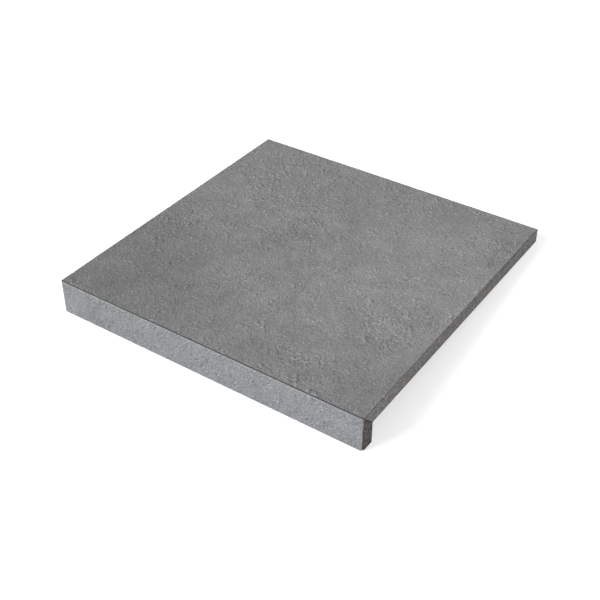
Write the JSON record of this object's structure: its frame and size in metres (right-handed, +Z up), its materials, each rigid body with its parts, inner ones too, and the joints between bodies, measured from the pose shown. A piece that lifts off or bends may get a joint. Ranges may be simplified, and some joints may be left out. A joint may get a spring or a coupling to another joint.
{
  "type": "edge tile",
  "caption": "Square concrete-look porcelain paving tile with a mitred lip glued under its front edge, for capping the edge of a step, terrace or pool.",
  "frame": {"origin": "centre of the tile's plan, at the height of the lip's foot", "axes": "+X along the front edge, to the right as seen from in front; +Y from the lip to the back edge; +Z up, out of the walking face"},
  "size_m": [0.45, 0.45, 0.05],
  "materials": {
    "porcelain": "matte",
    "epoxy": "satin"
  },
  "bodies": {
    "root": {"tile_slab": "porcelain", "front_lip": "porcelain", "mitre_adhesive": "epoxy"}
  },
  "joints": []
}
